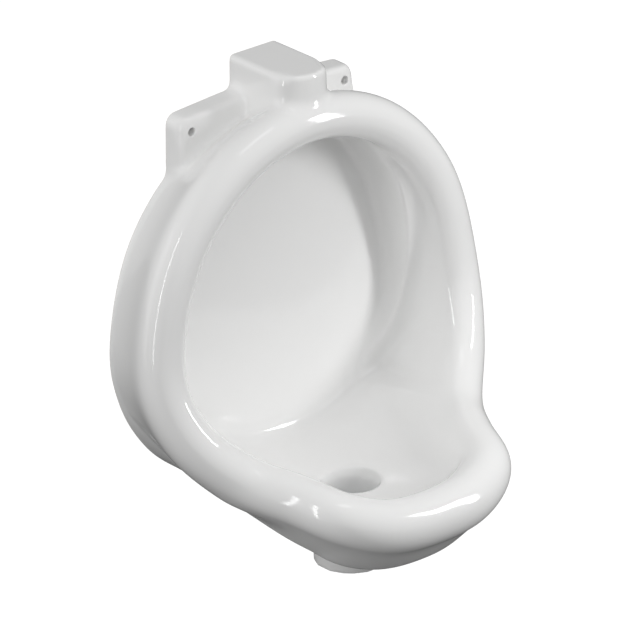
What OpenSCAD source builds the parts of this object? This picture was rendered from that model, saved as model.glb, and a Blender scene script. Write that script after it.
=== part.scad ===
// Waterless wall urinal: a one-piece china bowl with a rolled rim, and the drop-in
// valve cartridge that closes its outlet. Millimetres, +Z up, the wall at Y = 0 and the
// user on the -Y side. The origin lies on the wall, midway between the two fixing holes.

/* [Back] */
// Width of the outline that meets the wall
back_w = 381; // [370:1:396]
// Drop from the fixing holes to the widest level of that outline
back_drop = 215; // [207:1:222]
// Rise of the outline above its widest level
back_rise = 208; // [202:1:214]
// Fall of the outline below its widest level
back_fall = 188; // [182:1:194]
// Width of the land round the hollow back
land_w = 14; // [11:1:18]

/* [Rolled rim] */
// Width between the centres of the roll, at its widest
rim_w = 392; // [384:1:404]
// Drop from the fixing holes to the widest level of the rim
rim_drop = 212; // [204:1:220]
// Rise of the roll's centre above that level
rim_rise = 216; // [208:1:220]
// Depth from the wall to the roll's centre at the top
rim_depth = 79; // [74:1:86]
// The same at the widest level
side_depth = 86; // [82:1:92]
// Radius of the roll at the top and sides
roll_r = 23.5; // [20:0.5:26]
// Radius of the roll round the lip
lip_r = 27.5; // [24:0.5:29]
// How far round its back the roll starts from the skirt, in degrees from straight back
roll_back = 4; // [0:1:20]

/* [Lip] */
// Depth from the wall to the roll's centre at the tip of the lip
lip_depth = 268; // [256:1:280]
// Drop from the widest level to the roll's centre at the tip
lip_drop = 154; // [146:1:160]
// How far the hip, where the rim starts forward, lies inside the widest point
hip_in = 15; // [10:1:20]
// Depth of the hip from the wall
hip_depth = 112; // [106:1:118]
// Drop of the hip below the widest level
hip_drop = 69; // [64:1:74]
// How far the waist lies inside the widest point
waist_in = 54; // [48:1:60]
// Depth of the waist from the wall
waist_depth = 150; // [142:1:158]
// Drop of the waist below the widest level
waist_drop = 112; // [106:1:118]
// Half the width of the lip where its sides run forward
lip_half = 115; // [108:1:122]
// Distance from the tip back to that place
lip_run = 72; // [66:1:78]
// Its height above the tip
lip_dip = 29; // [24:1:34]
// Half the width of the lip at its front corners
corner_half = 95; // [88:1:101]
// Distance from the tip back to the corners
corner_run = 24; // [20:1:30]
// Height of the corners above the tip
corner_dip = 18; // [14:1:22]

/* [Back panel and floor] */
// Depth from the wall to the face of the back panel
panel_depth = 30; // [26:1:34]
// Width of the flat back panel
panel_w = 298; // [286:1:304]
// Drop from the fixing holes to the top of the panel
panel_top = 12; // [10:1:20]
// Drop from the fixing holes to the foot of the panel
panel_foot = 359; // [354:1:364]
// Radius of the bend between panel and floor
bend_r = 16; // [12:1:40]
// Rise of the floor and of the panel's foot, 100 mm out from the middle
side_rise = 28; // [18:1:32]
// Depth of the wall round the panel, at the sides
wall_depth = 30; // [26:1:38]
// Depth of that wall at the upper corners
shoulder_depth = 45; // [38:1:48]
// Depth of that wall at the top
crown_depth = 36; // [30:1:40]
// How far that wall leans outwards
wall_lean = 3; // [2:0.5:6]
// How far inside its foot that wall starts to rise from the panel
wall_fillet = 12; // [6:1:15]
// Half the width of the panel beside the hip of the rim
hip_half = 136; // [128:1:140]
// Height of that place above the foot
hip_rise = 86; // [76:1:96]
// Half the width of the panel's foot, where its sides begin to round up
foot_half = 104; // [92:1:112]
// Height of that place above the foot
foot_rise = 34; // [28:1:44]
// Half the width of the floor behind the lip
pool_half = 62; // [54:1:70]
// Distance from the tip of the lip back to the front of the floor
floor_gap = 42; // [38:1:48]
// Thickness of the china behind the panel and under the floor
china_t = 12; // [9:0.5:14]
// Fullness of the underside where it rises into the lip
belly = 63; // [54:1:72]
// Half the width of the hollow under the floor
hollow_half = 92; // [84:1:98]
// Reach of that hollow from the wall
hollow_reach = 226; // [214:1:232]
// Height of that hollow below its crown
hollow_h = 18; // [14:1:20]

/* [Fixing ears] */
// Distance between the two fixing holes
hole_gap = 202; // [190:1:210]
// Radius of each fixing hole
hole_r = 4.5; // [3.5:0.25:5.5]
// Chamfer round the front of each hole
hole_chamfer = 1; // [0.5:0.25:2]
// Thickness of the ears
ear_t = 24; // [18:1:28]
// Reach of the ears beyond the hole centres
ear_out = 14; // [11:0.5:16]
// Height of the ears above the hole centres, at the outer corner
ear_up = 15; // [13:0.5:18]
// Slope of the top edge of the ears, in degrees
ear_slope = 3.5; // [0:0.5:6]
// Radius of the outer corners
ear_corner = 12; // [8:0.5:14]

/* [Top block] */
// Width of the block above the rim, where a flushing bowl has its inlet
block_w = 62; // [56:1:66]
// Height of its top above the fixing holes
block_top = 56; // [50:1:62]
// Depth of its straight sides
block_side = 75; // [70:1:80]
// Extra depth of its bowed front
block_bow = 18; // [10:1:20]
// Radius of its edges
block_edge = 4; // [2:0.5:6]

/* [Outlet and spigot] */
// Depth from the wall to the centre of the outlet
outlet_depth = 148; // [140:1:156]
// Radius of the outlet bore
bore_r = 27; // [24:0.5:29]
// Radius of the shallow seat round the outlet
seat_r = 30.5; // [29.5:0.5:33]
// Drop from the fixing holes to the floor at the outlet
floor_drop = 368; // [364:1:372]
// Depth of the seat round the outlet
seat_depth = 8; // [6:0.5:10]
// Drop from the fixing holes to the end of the spigot
spigot_drop = 454; // [448:1:462]
// Outer radius of the spigot's straight end
spigot_r = 37.5; // [34.5:0.5:40]
// Length of that straight end
spigot_land = 14; // [10:1:20]
// Outer radius of the spigot at its root
spigot_root_r = 42; // [40.5:0.5:46]
// Height of the cone between them
cone_h = 14; // [10:1:16]
// Radius of the throat below the cartridge
throat_r = 22; // [19:0.5:23]
// Height of the ledge that carries the cartridge
ledge_h = 6; // [4:0.5:8]

/* [Cartridge] */
// Running gap between the cartridge and the bore
bore_gap = 0.8; // [0.5:0.1:1.2]
// Gap between the lip seals and the bore
seal_gap = 0.2; // [0.15:0.05:0.4]
// Length of the cartridge body
cart_len = 48; // [44:1:52]
// Wall of the cartridge body
cart_wall = 2.4; // [2:0.1:3]
// Width of each seal groove
seal_w = 4; // [3:0.5:5]
// Depth of each seal groove
seal_in = 1; // [0.8:0.1:1.2]
// Distance from each end of the body to its seal
seal_end = 7; // [6:0.5:9]
// Thickness of the strainer plate
strainer_t = 3; // [2.5:0.25:4]
// Number of slots in each half of the strainer
strainer_slots = 4; // [3:1:4]
// Width of one slot
slot_w = 2.6; // [2:0.1:3]
// Height of the lifting bar on the strainer
bar_h = 9; // [8:0.5:10]
// Radius of the float ball
ball_r = 12.5; // [11.5:0.25:13.5]
// Travel of the float ball
ball_lift = 7; // [5:0.5:8]
// Radius of the hole in the valve seat
seat_hole_r = 9; // [8:0.25:10]
// Thickness of the valve seat
valve_seat_t = 4; // [3:0.5:5]
// Height of the ring that clamps the valve seat
clamp_h = 5; // [4:0.5:6]
// Number of fins in the ball guide
guide_fins = 4; // [3:1:5]
// Clearance between pieces that are pushed together
fit_gap = 0.05; // [0.02:0.01:0.1]

/* [Hidden] */

// Steps of the lofts: columns in each span of the rim, and rings in each zone
span_steps = 6;
skirt_steps = 7;
roll_steps = 11;
flare_steps = 6;
wall_steps = 4;
round_fn = 96;

rim_half = rim_w / 2;
back_half = back_w / 2;
panel_half = panel_w / 2;
lip_z = -rim_drop - lip_drop;
outlet_z = -floor_drop;

// The floor is a shallow dish that falls to the outlet from the front and back, and it
// rises to both sides, so that the panel has a rounded foot
bend_d = panel_depth + bend_r;
dish_d = outlet_depth - bend_d;
dish = (floor_drop - panel_foot) / (dish_d * dish_d);
floor_end = lip_depth - floor_gap;

function floor_z(d) = outlet_z + dish * (d - outlet_depth) * (d - outlet_depth);
function lift(x) = side_rise * x * x / 10000;
function bend_m(x) = panel_foot - panel_top - bend_r - lift(x);
function floor_m(x) = bend_m(x) + 1.6 * bend_r;

function bezier2(a, b, c, u) = a * (1 - u) * (1 - u) + b * 2 * u * (1 - u) + c * u * u;

function bezier3(a, b, c, d, u) =
    a * pow(1 - u, 3) + b * 3 * u * pow(1 - u, 2) + c * 3 * u * u * (1 - u) + d * pow(u, 3);

// Side profile of panel and floor: [depth, height] at x across and at a distance m down
// from the panel's top
function profile(x, m) =
    let (top = bend_m(x), foot = floor_m(x), d = bend_d + m - foot)
    m <= top ? [panel_depth, -panel_top - m]
    : m < foot ? bezier2([panel_depth, lift(x) - panel_foot + bend_r],
                         [panel_depth, lift(x) + floor_z(bend_d) + 2 * dish * dish_d * bend_r],
                         [bend_d, lift(x) + floor_z(bend_d)], (m - top) / (foot - top))
    : [d, lift(x) + floor_z(d)];

function panel_m(drop) = drop - panel_top;
function deep_m(x, d) = floor_m(x) + d - bend_d;

// A point of the inner surface
function base_point(x, m) = let (p = profile(x, m)) [x, -p[0], p[1]];

function back_z(angle) = -back_drop + (cos(angle) > 0 ? back_rise : back_fall) * cos(angle);

// One station down the right side: the roll's centre and radius, how far its face turns
// up, how far round the roll goes inside, the point on the wall outline, the point on the
// inner surface, how softly the roll runs out onto it, the depth of the wall there, and
// which way is outwards on the inner surface, in degrees from straight up
function station(x, d, z, r, turn, inner, back_angle, base_x, base_m, soft, wall, spread) =
    [x, -d, z, r, turn, inner, back_half * sin(back_angle), back_z(back_angle),
     base_x, base_m, soft, wall, sin(spread), cos(spread)];

// Stations on the upper arc follow one ellipse for the rim and one for the panel
function upper_station(angle, inner, soft, wall) =
    station(rim_half * sin(angle),
            rim_depth + (side_depth - rim_depth) * pow(1 - cos(angle), 3),
            -rim_drop + rim_rise * cos(angle), roll_r, 0, inner, angle,
            panel_half * sin(angle), (rim_drop - panel_top) * (1 - cos(angle)),
            soft, wall, angle);

// Behind the lip the floor is a little wider at the back than at its front corners
pool_taper = 6;
pool_run = 64;
pool_corner_run = 24;
tip_ease = 4;

// The same for a station over the floor, whose base point lies at depth d
function floor_station(x, d, z, r, turn, inner, back_angle, base_x, base_d, spread) =
    station(x, d, z, r, turn, inner, back_angle, base_x, deep_m(base_x, base_d),
            0.45, 0, spread);

side_stations = [
    upper_station(0, 80, 0.4, crown_depth),
    upper_station(30, 78, 0.4, shoulder_depth - 3),
    upper_station(60, 70, 0.4, shoulder_depth),
    upper_station(90, 60, 0.42, wall_depth),
    station(rim_half - hip_in, hip_depth, -rim_drop - hip_drop, roll_r + 0.5, 12, 54, 112,
            hip_half, panel_m(panel_foot - hip_rise), 0.43, wall_depth * 0.62, 104),
    station(rim_half - waist_in, waist_depth, -rim_drop - waist_drop, roll_r + 1.5, 35, 54,
            130, foot_half, panel_m(panel_foot - foot_rise), 0.42, wall_depth * 0.1, 108),
    floor_station(lip_half, lip_depth - lip_run, lip_z + lip_dip, roll_r + 2.5, 58, 60, 144,
                  pool_half + pool_taper, floor_end - pool_run, 104),
    floor_station(corner_half, lip_depth - corner_run, lip_z + corner_dip, lip_r - 1, 76, 64,
                  156, pool_half - pool_taper, floor_end - pool_corner_run, 128),
    floor_station(corner_half * 0.56, lip_depth - tip_ease, lip_z + tip_ease, lip_r, 84, 66,
                  168, pool_half * 0.55, floor_end - tip_ease, 158),
    floor_station(0, lip_depth, lip_z, lip_r, 86, 66, 180, 0, floor_end, 180)];

// The left side repeats the right with its x values turned round
flip = [-1, 1, 1, 1, 1, 1, -1, 1, -1, 1, 1, 1, -1, 1];
function mirrored(s) = [for (i = [0:len(s) - 1]) s[i] * flip[i]];

side_n = len(side_stations);
stations = concat(side_stations, [for (i = [side_n - 2:-1:1]) mirrored(side_stations[i])]);
station_n = len(stations);
columns = station_n * span_steps;

function catmull(a, b, c, d, u) =
    0.5 * (2 * b + (c - a) * u + (2 * a - 5 * b + 4 * c - d) * u * u
           + (3 * b - a - 3 * c + d) * u * u * u);

function place(k) =
    let (i = floor(k / span_steps), u = k / span_steps - i)
    catmull(stations[(i + station_n - 1) % station_n], stations[i % station_n],
            stations[(i + 1) % station_n], stations[(i + 2) % station_n], u);

places = [for (k = [0:columns - 1]) place(k)];
function centre(k) = let (p = places[(k + columns) % columns]) [p[0], p[1], p[2]];
function unit(v) = v / norm(v);

// Frame of the roll at one column: which way its face and its outside look
function face_dir(k) =
    let (t = unit(centre(k + 1) - centre(k - 1)), turn = places[k][4],
         b = [0, -cos(turn), sin(turn)])
    unit(b - (b * t) * t);
function out_dir(k) = cross(face_dir(k), unit(centre(k + 1) - centre(k - 1)));

function roll_point(k, angle) =
    centre(k) + places[k][3] * (cos(angle) * face_dir(k) + sin(angle) * out_dir(k));

// How far each curve runs straight on at its ends, as a share of its length
skirt_pull = 0.36;
back_pull = 0.42;
flare_pull = 0.36;
wall_pull = 0.75;
foot_pull = 0.7;

// How steeply the flare leaves the wall: forward for each step outwards
flare_tilt = 0.4;

// Skirt and belly: from the wall outline straight forward, then up into the roll's back.
// Under the lip the curve runs on further and comes up from below.
function skirt_point(k, u) =
    let (a = [places[k][6], 0, places[k][7]], b = roll_point(k, 180 + roll_back),
         reach = norm(b - a), rise = sin(places[k][4]), under = rise * rise,
         forward = reach * skirt_pull * (1 + under),
         back = reach * back_pull * (1 - rise) + belly * under)
    bezier3(a, a + [0, -forward, 0], b - face_dir(k) * back, b, u);

// Inner surface: the flare comes down from the roll's inside to the top of the wall round
// the panel, and the wall runs out onto the panel. Over the floor that wall has no height.
function outward_point(k, gap) =
    let (p = places[k]) base_point(p[8] + gap * p[12], p[9] - gap * p[13]);
function wall_top(k) = outward_point(k, wall_lean) + [0, -places[k][11], 0];

function flare_point(k, u) =
    let (p = places[k], a = roll_point(k, -p[5]), e = wall_top(k), gap = norm(e - a),
         down = -sin(p[5]) * face_dir(k) - cos(p[5]) * out_dir(k),
         out = unit(outward_point(k, wall_lean) - outward_point(k, 0)),
         lean = unit(out + [0, -flare_tilt * p[11] / crown_depth, 0]))
    bezier3(a, a + down * gap * flare_pull, e + lean * gap * p[10], e, u);

function wall_point(k, u) =
    let (e = wall_top(k), c = outward_point(k, 0), b = outward_point(k, -wall_fillet))
    bezier3(e, e + (c - e) * wall_pull, b + (c - b) * foot_pull, b, u);

// The panel and floor, drawn in towards the middle
hub_m = bend_m(0) - 60;
function bed_point(k, s) =
    let (p = places[k], x = p[8] - wall_fillet * p[12], m = p[9] + wall_fillet * p[13])
    base_point(x * s, hub_m + (m - hub_m) * (0.8 + 0.2 * s));

bowl_rings = concat(
    [for (j = [0:skirt_steps - 1]) [for (k = [0:columns - 1]) skirt_point(k, j / skirt_steps)]],
    [for (j = [0:roll_steps]) [for (k = [0:columns - 1])
        roll_point(k, 180 + roll_back - (180 + roll_back + places[k][5]) * j / roll_steps)]],
    [for (j = [1:flare_steps]) [for (k = [0:columns - 1]) flare_point(k, j / flare_steps)]],
    [for (j = [1:wall_steps]) [for (k = [0:columns - 1]) wall_point(k, j / wall_steps)]],
    [for (s = [0.8, 0.6, 0.4, 0.2, 0.07]) [for (k = [0:columns - 1]) bed_point(k, s)]]);

// A closed skin over a stack of rings. Each ring is the same on both sides of the middle,
// so the two ends are closed by straight bands from side to side.
module loft(rings) {
    n = len(rings[0]);
    m = len(rings);
    function at(j, k) = j * n + (k + n) % n;
    function band(j, k) = [at(j, k), at(j, k + 1), at(j, -k - 1), at(j, -k)];
    function reversed(f) = [for (i = [len(f) - 1:-1:0]) f[i]];
    function tips(j) = [[at(j, 0), at(j, 1), at(j, -1)],
                        [at(j, n / 2 - 1), at(j, n / 2), at(j, n / 2 + 1)]];
    function cap(j) = concat(tips(j), [for (k = [1:n / 2 - 2]) band(j, k)]);
    sides = [for (j = [0:m - 2], k = [0:n - 1], h = [0, 1])
        h == 0 ? [at(j, k), at(j, k + 1), at(j + 1, k)]
               : [at(j, k + 1), at(j + 1, k + 1), at(j + 1, k)]];
    polyhedron([for (r = rings) each r],
               concat([for (f = cap(0)) reversed(f)], sides, cap(m - 1)));
}

module china_body() {
    loft(bowl_rings);
}

// Hollow back: the wall outline drawn in by the land, cut to the back of the panel
module back_hollow() {
    rotate([90, 0, 0])
        translate([0, 0, -1])
            linear_extrude(panel_depth - china_t + 1)
                polygon([for (a = [0:5:355])
                    [(back_half - land_w) * sin(a),
                     back_z(a) - land_w * cos(a)]]);
}

// Hollow under the floor, open to the hollow back: it follows the floor above and is
// rounded below, and it closes in towards its front end
hollow_rings = 10;
hollow_start = panel_depth - china_t - 2;
hollow_crown = 6;
function hollow_ring(j) =
    let (s = j / (hollow_rings - 1), d = hollow_start + (hollow_reach - hollow_start) * s,
         swell = pow(sin(60 + 120 * s), 0.6), high = max(4, hollow_h * swell),
         wide = max(10, hollow_half * swell), top = floor_z(d) - china_t)
    [for (a = [0:10:350])
        let (x = wide * sin(a), crown = hollow_crown * wide / hollow_half)
        [x, -d, top + (cos(a) > 0 ? (cos(a) - 1) * crown + lift(x)
                                  : high * cos(a) - crown + lift(x))]];

module floor_hollow() {
    loft([for (j = [0:hollow_rings - 1]) hollow_ring(j)]);
}

// Fixing ears: one plate behind the bowl with its top edge sloping to rounded corners
ear_half = hole_gap / 2 + ear_out;
ear_inner = block_w / 2;
module ear_outline() {
    rise = tan(ear_slope) * (ear_half - ear_inner);
    difference() {
        polygon([[-ear_half, -ear_up * 4], [-ear_half, ear_up], [-ear_inner, ear_up + rise],
                 [ear_inner, ear_up + rise], [ear_half, ear_up], [ear_half, -ear_up * 4]]);
        for (side = [-1, 1])
            translate([side * (ear_half - ear_corner), ear_up - ear_corner])
                difference() {
                    translate([side > 0 ? 0 : -ear_corner - 1, 0])
                        square([ear_corner + 1, ear_corner + 2]);
                    circle(r = ear_corner, $fn = round_fn);
                }
    }
}

module ears() {
    rotate([90, 0, 0])
        linear_extrude(ear_t)
            ear_outline();
}

// Top block: straight sides, bowed front, rounded top edge. Each ring runs from a point
// behind the wall round by the right, and what lies behind the wall is cut off.
block_foot = -10;
block_spare = 6;
bow_steps = 6;
function block_ring(inset, z) =
    let (half = block_w / 2 - inset, deep = block_bow - inset / 2,
         r = (half * half + deep * deep) / (2 * deep), end = asin(half / r))
    concat([[0, block_spare, z], [half, 1, z]],
           [for (i = [bow_steps:-1:-bow_steps])
               let (a = end * i / bow_steps)
               [r * sin(a), -block_side - deep + r * (1 - cos(a)), z]],
           [[-half, 1, z]]);

module block() {
    difference() {
        loft(concat([block_ring(0, block_foot)],
                    [for (a = [0:22.5:90])
                        block_ring(block_edge * (1 - cos(a)),
                                   block_top - block_edge + block_edge * sin(a))]));
        translate([-block_w, 0, block_foot - 1])
            cube([2 * block_w, block_spare + 1, block_top - block_foot + 2]);
    }
}

module at_outlet() {
    translate([0, -outlet_depth, 0])
        children();
}

// The spigot is one casting with the bowl and stands up through its floor to the seat
ledge_z = -spigot_drop + ledge_h;
seat_z = outlet_z - seat_depth;
root_z = -spigot_drop + spigot_land + cone_h;
module spigot() {
    color("white")
        at_outlet()
            difference() {
                union() {
                    translate([0, 0, -spigot_drop])
                        cylinder(r = spigot_r, h = spigot_land, $fn = round_fn);
                    translate([0, 0, -spigot_drop + spigot_land])
                        cylinder(r1 = spigot_r, r2 = spigot_root_r, h = cone_h, $fn = round_fn);
                    translate([0, 0, root_z])
                        cylinder(r = spigot_root_r, h = seat_z - root_z, $fn = round_fn);
                }
                translate([0, 0, -spigot_drop - 1])
                    cylinder(r = throat_r, h = ledge_h + 2, $fn = round_fn);
                translate([0, 0, ledge_z])
                    cylinder(r = bore_r, h = seat_z - ledge_z + 1, $fn = round_fn);
            }
}

// The hole in the bowl: the seat above, and the place of the spigot below it
seat_cut = 12;
module outlet_hole() {
    at_outlet() {
        translate([0, 0, -spigot_drop])
            cylinder(r = spigot_root_r, h = seat_z + spigot_drop, $fn = round_fn);
        translate([0, 0, seat_z - 1])
            cylinder(r = seat_r, h = seat_depth + seat_cut + 1, $fn = round_fn);
    }
}

module fixing_holes() {
    for (side = [-1, 1])
        translate([side * hole_gap / 2, 0, 0])
            rotate([90, 0, 0]) {
                translate([0, 0, -1])
                    cylinder(r = hole_r, h = ear_t + 2, $fn = round_fn);
                translate([0, 0, ear_t - hole_chamfer])
                    cylinder(r1 = hole_r, r2 = hole_r + hole_chamfer, h = hole_chamfer,
                             $fn = round_fn);
            }
}

module bowl() {
    color("white")
        difference() {
            union() {
                china_body();
                ears();
                block();
            }
            back_hollow();
            floor_hollow();
            outlet_hole();
            fixing_holes();
        }
}

// Cartridge: a tube standing on the ledge of the outlet, sealed by two lip rings
cart_r = bore_r - bore_gap;
cart_inner_r = cart_r - cart_wall;
cart_top = ledge_z + cart_len;
sill_t = 3;
sill_r = throat_r - 3;
groove_r = cart_r - seal_in;
lower_seal_z = ledge_z + seal_end;
upper_seal_z = cart_top - seal_end - seal_w;

// Everything inside the tube stacks up from its sill
valve_z = ledge_z + sill_t;
clamp_z = valve_z + valve_seat_t;
guide_z = clamp_z + clamp_h;
inner_r = cart_inner_r - fit_gap;
strainer_z = cart_top - strainer_t - 2;

// The ball sits on the edge of the valve seat, a hair above it
ball_rest = 0.3;
ball_z = clamp_z + sqrt(ball_r * ball_r - seat_hole_r * seat_hole_r) + ball_rest;
ball_top = ball_z + ball_r + ball_lift;

module turned(points) {
    at_outlet()
        rotate_extrude($fn = round_fn)
            polygon(points);
}

module cartridge_body() {
    color("lightsteelblue")
        turned([[sill_r, ledge_z], [cart_r - 1, ledge_z], [cart_r, ledge_z + 1],
                [cart_r, lower_seal_z], [groove_r, lower_seal_z],
                [groove_r, lower_seal_z + seal_w], [cart_r, lower_seal_z + seal_w],
                [cart_r, upper_seal_z], [groove_r, upper_seal_z],
                [groove_r, upper_seal_z + seal_w], [cart_r, upper_seal_z + seal_w],
                [cart_r, cart_top - 1], [cart_r - 1, cart_top], [cart_inner_r, cart_top],
                [cart_inner_r, valve_z], [sill_r, valve_z]]);
}

// A lip seal fills its groove and reaches nearly to the bore
module lip_seal(z) {
    lip_r = bore_r - seal_gap;
    color("dimgray")
        turned([[groove_r, z], [cart_r, z], [lip_r, z + seal_w * 0.45],
                [lip_r, z + seal_w * 0.6], [cart_r, z + seal_w * 0.8],
                [cart_r, z + seal_w], [groove_r, z + seal_w]]);
}

module upper_seal() {
    lip_seal(upper_seal_z);
}

module lower_seal() {
    lip_seal(lower_seal_z);
}

module valve_seat() {
    color("dimgray")
        turned([[seat_hole_r + 0.8, valve_z], [inner_r, valve_z], [inner_r, clamp_z],
                [seat_hole_r, clamp_z], [seat_hole_r, clamp_z - 1.2]]);
}

clamp_hole_r = ball_r + 2;
module clamp_ring() {
    color("gainsboro")
        turned([[clamp_hole_r, clamp_z], [inner_r, clamp_z], [inner_r, guide_z],
                [clamp_hole_r + 2, guide_z], [clamp_hole_r, guide_z - 2]]);
}

// Guide: a thin sleeve with fins that keep the ball central and cross over it as a stop
guide_wall = 1.6;
fin_t = 2;
stop_h = 2.5;
ball_play = 0.6;
module ball_guide() {
    stop_z = ball_top + ball_rest;
    color("gainsboro")
        at_outlet() {
            difference() {
                translate([0, 0, guide_z])
                    cylinder(r = inner_r, h = strainer_z - guide_z, $fn = round_fn);
                translate([0, 0, guide_z - 1])
                    cylinder(r = inner_r - guide_wall, h = strainer_z - guide_z + 2,
                             $fn = round_fn);
            }
            for (i = [0:guide_fins - 1])
                rotate([0, 0, (i + 0.5) * 360 / guide_fins]) {
                    translate([ball_r + ball_play, -fin_t / 2, guide_z])
                        cube([inner_r - guide_wall / 2 - ball_r - ball_play, fin_t,
                              stop_z + stop_h - guide_z]);
                    translate([0, -fin_t / 2, stop_z])
                        cube([inner_r - guide_wall / 2, fin_t, stop_h]);
                }
            translate([0, 0, stop_z])
                cylinder(r = fin_t * 1.5, h = stop_h, $fn = round_fn);
        }
}

module float_ball() {
    color("orange")
        at_outlet()
            translate([0, 0, ball_z])
                sphere(r = ball_r, $fn = round_fn);
}

// Strainer: a slotted plate with an arched bar to lift the cartridge by
slot_pitch = slot_w * 3.8;
slot_inner = 5;
plate_edge = 4;
bar_w = 4;
bar_t = 2.5;
bar_half = 15;
bar_leg = 4;
bar_rake = 3;
function slot_reach(x) = sqrt(pow(inner_r - plate_edge, 2) - x * x);
module strainer() {
    color("gainsboro")
        at_outlet() {
            difference() {
                translate([0, 0, strainer_z])
                    cylinder(r = inner_r, h = strainer_t, $fn = round_fn);
                for (side = [-1, 1], i = [0:strainer_slots - 1]) {
                    x = (i - (strainer_slots - 1) / 2) * slot_pitch;
                    long = slot_reach(x) - slot_inner;
                    translate([x, side * slot_inner, strainer_z - 1])
                        linear_extrude(strainer_t + 2) {
                            translate([-slot_w / 2, side > 0 ? 0 : -long])
                                square([slot_w, long]);
                            for (end = [0, side * long])
                                translate([0, end])
                                    circle(d = slot_w, $fn = 32);
                        }
                }
            }
            lifting_bar();
        }
}

module lifting_bar() {
    inner = bar_half - bar_leg;
    translate([0, bar_w / 2, strainer_z + strainer_t])
        rotate([90, 0, 0])
            linear_extrude(bar_w)
                difference() {
                    polygon([[-bar_half, 0], [bar_rake - bar_half, bar_h],
                             [bar_half - bar_rake, bar_h], [bar_half, 0]]);
                    polygon([[-inner, -1], [-inner, 0], [bar_rake - inner, bar_h - bar_t],
                             [inner - bar_rake, bar_h - bar_t], [inner, 0], [inner, -1]]);
                }
}

bowl();
spigot();
cartridge_body();
upper_seal();
lower_seal();
strainer();
ball_guide();
float_ball();
valve_seat();
clamp_ring();
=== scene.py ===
import math

import bmesh
import bpy
import numpy as np
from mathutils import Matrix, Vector, kdtree


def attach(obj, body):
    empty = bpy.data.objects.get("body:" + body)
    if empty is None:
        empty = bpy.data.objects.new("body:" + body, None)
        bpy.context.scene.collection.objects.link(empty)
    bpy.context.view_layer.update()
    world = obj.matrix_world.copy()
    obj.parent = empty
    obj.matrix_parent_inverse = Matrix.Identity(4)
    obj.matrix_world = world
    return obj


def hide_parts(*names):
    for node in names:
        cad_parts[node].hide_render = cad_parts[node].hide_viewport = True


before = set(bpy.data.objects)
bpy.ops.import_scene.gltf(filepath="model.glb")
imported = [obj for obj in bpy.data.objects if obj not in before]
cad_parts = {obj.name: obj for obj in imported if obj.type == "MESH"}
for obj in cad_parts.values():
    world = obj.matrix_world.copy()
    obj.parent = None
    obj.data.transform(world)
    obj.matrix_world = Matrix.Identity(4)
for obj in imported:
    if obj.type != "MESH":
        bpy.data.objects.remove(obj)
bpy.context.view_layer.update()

mm = 0.001
mergeGap = 1e-6  # metres
print("frame loaded with", len(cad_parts), "nodes")


def addObject(name, mesh):
    ob = bpy.data.objects.new(name, mesh)
    bpy.context.scene.collection.objects.link(ob)
    return ob


def meshFromPoints(name, points, faces):
    mesh = bpy.data.meshes.new(name)
    mesh.from_pydata([tuple(p) for p in points], [], faces)
    mesh.update()
    return addObject(name, mesh)


def bakeModifiers(ob):
    graph = bpy.context.evaluated_depsgraph_get()
    mesh = bpy.data.meshes.new_from_object(ob.evaluated_get(graph))
    old = ob.data
    ob.modifiers.clear()
    ob.data = mesh
    bpy.data.meshes.remove(old)


def removeObject(ob):
    mesh = ob.data
    bpy.data.objects.remove(ob)
    bpy.data.meshes.remove(mesh)


def combine(ob, other, operation):
    # the second solid is used up
    mod = ob.modifiers.new("Combine", "BOOLEAN")
    mod.operation = operation
    mod.solver = "EXACT"
    mod.object = other
    bakeModifiers(ob)
    removeObject(other)


def makeSolid(name, points, faces):
    ob = meshFromPoints(name, points, faces)
    bm = bmesh.new()
    bm.from_mesh(ob.data)
    bmesh.ops.remove_doubles(bm, verts=bm.verts, dist=mergeGap)
    bmesh.ops.recalc_face_normals(bm, faces=bm.faces)
    bm.to_mesh(ob.data)
    bm.free()
    return ob


def loftSolid(name, rings):
    # every ring is the same on both sides of its first point, so the ends close side to side
    count = len(rings[0])
    half = count // 2
    points = [p for ring in rings for p in ring]
    faces = []
    for j in range(len(rings) - 1):
        a, b = j * count, (j + 1) * count
        for k in range(count):
            n = (k + 1) % count
            faces.append((a + k, a + n, b + n, b + k))
    for a in (0, (len(rings) - 1) * count):
        faces.append((a, a + 1, a + count - 1))
        for k in range(1, half - 1):
            faces.append((a + k, a + k + 1, a + count - k - 1, a + count - k))
        faces.append((a + half - 1, a + half, a + half + 1))
    return makeSolid(name, points, faces)


def cappedSolid(name, rings):
    # rings joined in turn, with one flat face at either end
    count = len(rings[0])
    points = [p for ring in rings for p in ring]
    faces = [(j * count + k, j * count + (k + 1) % count,
              (j + 1) * count + (k + 1) % count, (j + 1) * count + k)
             for j in range(len(rings) - 1) for k in range(count)]
    faces += [tuple(range(count)), tuple(range(len(points) - count, len(points)))]
    return makeSolid(name, points, faces)


def turnedSolid(name, centre, profile, count=96):
    # a profile of (radius, height) turned about an upright axis
    cx, cy = centre
    rings = [[(cx + r * math.sin(2 * math.pi * k / count),
               cy - r * math.cos(2 * math.pi * k / count), z)
              for k in range(count)] for r, z in profile]
    return loftSolid(name, rings)


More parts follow.
